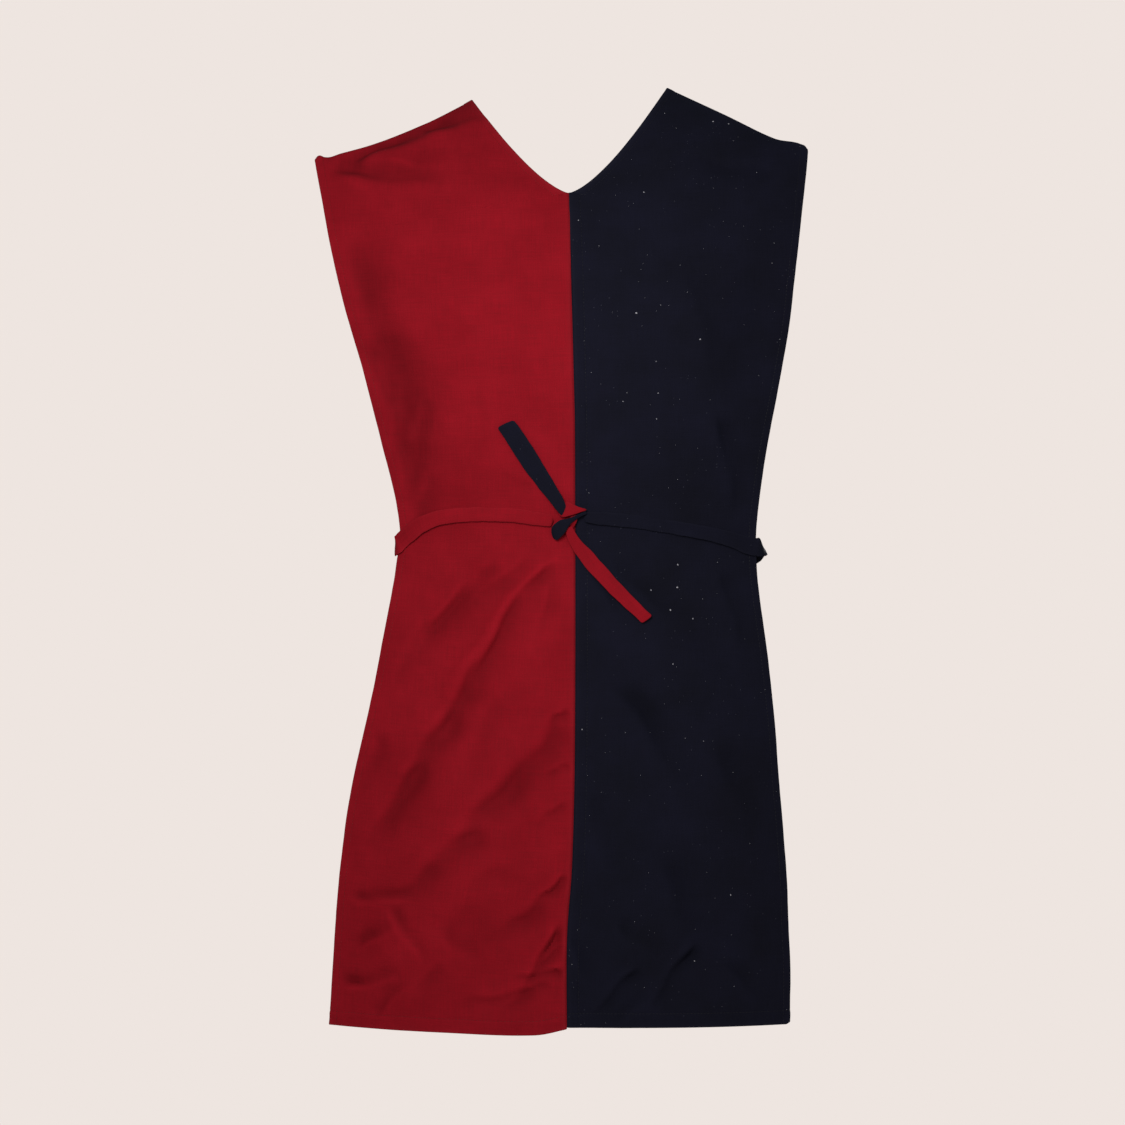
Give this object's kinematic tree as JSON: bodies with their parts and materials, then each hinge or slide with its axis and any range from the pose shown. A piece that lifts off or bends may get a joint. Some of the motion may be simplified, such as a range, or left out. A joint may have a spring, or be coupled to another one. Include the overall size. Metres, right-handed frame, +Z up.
{
  "type": "halved tabard",
  "caption": "Sleeveless open-sided halved tabard with a V neck and a flared skirt, shaped as worn, its front and back held at the waist by ties knotted in front.",
  "frame": {"origin": "midway between the two neck points, level with the top of the shoulders, where the wearer's shoulders carry the cloth", "axes": "+Z up, -Y out of the garment's front, +X towards the wearer's left side, which is the black half"},
  "size_m": [0.494, 0.2372, 0.9299],
  "materials": {
    "crimson_canvas": "crimson cotton canvas, plain weave, matt with a faint sheen",
    "black_canvas": "blue-black cotton canvas, plain weave, matt"
  },
  "bodies": {
    "root": {"front_red": "crimson_canvas", "front_dark": "black_canvas", "back_red": "crimson_canvas", "back_dark": "black_canvas", "belt_red": "crimson_canvas", "belt_dark": "black_canvas", "knot_red": "crimson_canvas", "knot_dark": "black_canvas", "tail_red": "crimson_canvas", "tail_dark": "black_canvas"}
  },
  "joints": []
}
